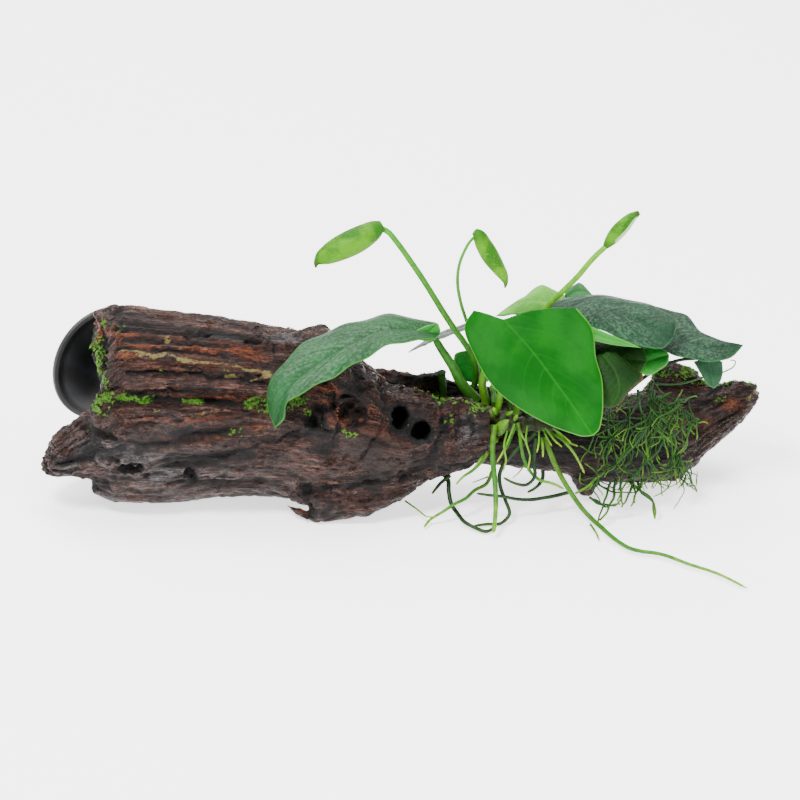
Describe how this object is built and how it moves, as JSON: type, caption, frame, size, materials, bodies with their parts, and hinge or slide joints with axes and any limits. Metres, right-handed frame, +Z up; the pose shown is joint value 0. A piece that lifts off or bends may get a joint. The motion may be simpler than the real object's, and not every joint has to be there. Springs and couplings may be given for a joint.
{
  "type": "anubias on driftwood",
  "caption": "Broad-leaved water plant with closed flower sheaths and hanging roots, grown on a hollowed piece of driftwood with a suction cup behind it.",
  "frame": {"origin": "on the resting surface, under the middle of the object's box", "axes": "+X along the wood from the broken end to the horn, +Z up, the plant hangs over the side facing -Y"},
  "size_m": [0.2858, 0.1432, 0.13],
  "materials": {
    "wood": "wet, dark red-brown, furrowed along the grain, with rust-coloured bare patches",
    "rubber": "black, smooth, slightly glossy",
    "rhizome": "yellow-green, ringed by old leaf scars",
    "leaf_mid": "waxy mid-green",
    "leaf_bright": "waxy bright green with a pale rim",
    "leaf_dark": "waxy dark bluish green",
    "stalk": "smooth light green",
    "spathe": "smooth fresh green",
    "root": "light to dark green, some yellow tips",
    "fine_root": "dark green hair roots",
    "moss": "short bright moss"
  },
  "bodies": {
    "root": {"driftwood_trunk": "wood", "driftwood_prong": "wood", "driftwood_branch": "wood", "suction_cup": "rubber", "rhizome": "rhizome", "leaf_left": "leaf_mid", "leaf_top_small": "leaf_mid", "leaf_trough": "leaf_mid", "leaf_damaged": "leaf_mid", "leaf_drooping": "leaf_mid", "leaf_front": "leaf_bright", "leaf_pale_back": "leaf_bright", "leaf_small_right": "leaf_bright", "leaf_dark_back": "leaf_dark", "leaf_dark_right": "leaf_dark", "leaf_edge_on": "leaf_dark", "leaf_shaded": "leaf_dark", "stalk_left": "stalk", "stalk_front": "stalk", "stalk_dark_back": "stalk", "stalk_dark_right": "stalk", "stalk_pale_back": "stalk", "stalk_top_small": "stalk", "stalk_edge_on": "stalk", "stalk_trough": "stalk", "stalk_shaded": "stalk", "stalk_damaged": "stalk", "stalk_small_right": "stalk", "stalk_drooping": "stalk", "cut_stalk": "stalk", "flower_stalk_left": "stalk", "flower_stalk_middle": "stalk", "flower_stalk_right": "stalk", "spathe_left": "spathe", "spathe_middle": "spathe", "spathe_right": "spathe", "root_01": "root", "root_02": "root", "root_03": "root", "root_04": "root", "root_05": "root", "root_06": "root", "root_07": "root", "root_08": "root", "root_09": "root", "root_10": "root", "root_11": "root", "root_12": "root", "root_13": "root", "root_14": "root", "root_15": "root", "root_16": "root", "fine_root_mat": "fine_root", "moss_broken_end": "moss", "moss_groove": "moss", "moss_mound": "moss"}
  },
  "joints": []
}
